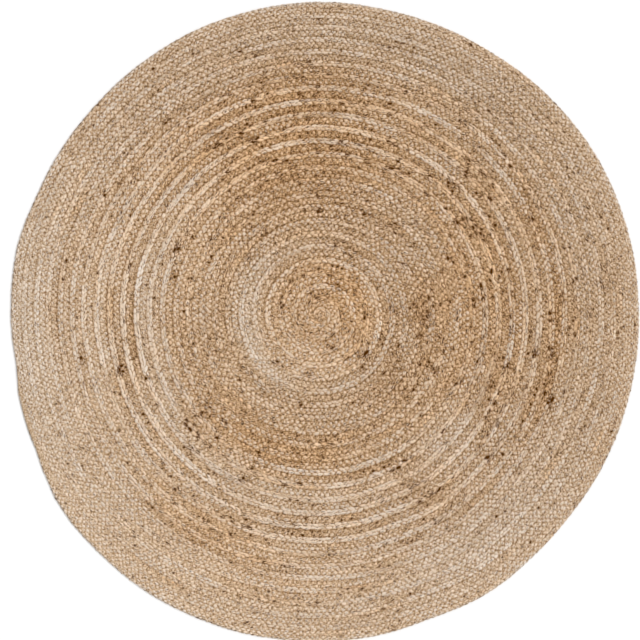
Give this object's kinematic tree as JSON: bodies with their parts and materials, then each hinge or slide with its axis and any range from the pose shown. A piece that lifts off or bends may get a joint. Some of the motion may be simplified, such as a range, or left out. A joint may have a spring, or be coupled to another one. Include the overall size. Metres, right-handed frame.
{
  "type": "round braided jute rug",
  "caption": "Flat round floor rug: one natural jute plait wound in a spiral from the centre and sewn edge to edge, with a tapered outer end.",
  "frame": {"origin": "on the floor, under the middle of the rug's bounding box", "axes": "+Z up out of the floor through the rug's thickness; seen from above, +X to the right and +Y up, with the tapered end at the lower left"},
  "size_m": [1.2066, 1.229, 0.0085],
  "materials": {
    "jute": "matte natural fibre"
  },
  "bodies": {
    "root": {"rug": "jute"}
  },
  "joints": []
}
